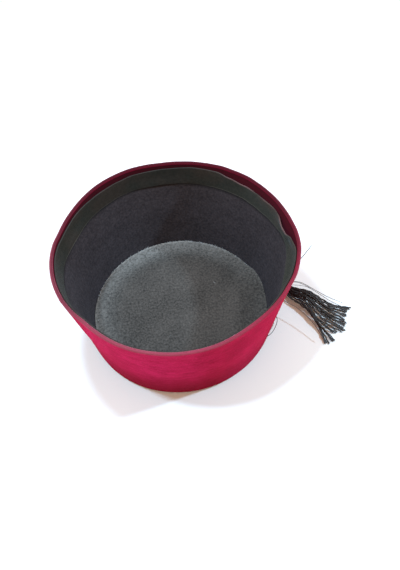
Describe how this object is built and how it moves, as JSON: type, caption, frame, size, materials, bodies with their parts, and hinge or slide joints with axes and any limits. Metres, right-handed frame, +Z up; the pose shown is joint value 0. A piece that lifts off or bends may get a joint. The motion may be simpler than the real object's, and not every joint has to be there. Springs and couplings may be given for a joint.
{
  "type": "fez hat with tassel",
  "caption": "Felt fez hat with a flaring round wall and flat crown, lined inside, with a ribbon sweatband and a corded tassel, lying on its crown.",
  "frame": {"origin": "on the surface that the hat stands on, under the middle of its crown", "axes": "+Z up, from the crown towards the open rim; -Y towards the viewer; the tassel lies towards +X"},
  "size_m": [0.2443, 0.1891, 0.0904],
  "materials": {
    "felt": "velvety brushed wool felt",
    "wall_lining": "matt woven lining",
    "crown_lining": "matt woven lining",
    "ribbon": "ribbed ribbon",
    "cord": "twisted cord, low sheen",
    "strands": "twisted strands, low sheen"
  },
  "bodies": {
    "root": {"felt_shell": "felt", "wall_lining": "wall_lining", "crown_lining": "crown_lining", "sweatband": "ribbon", "tassel_cord": "cord", "tassel": "strands"}
  },
  "joints": []
}
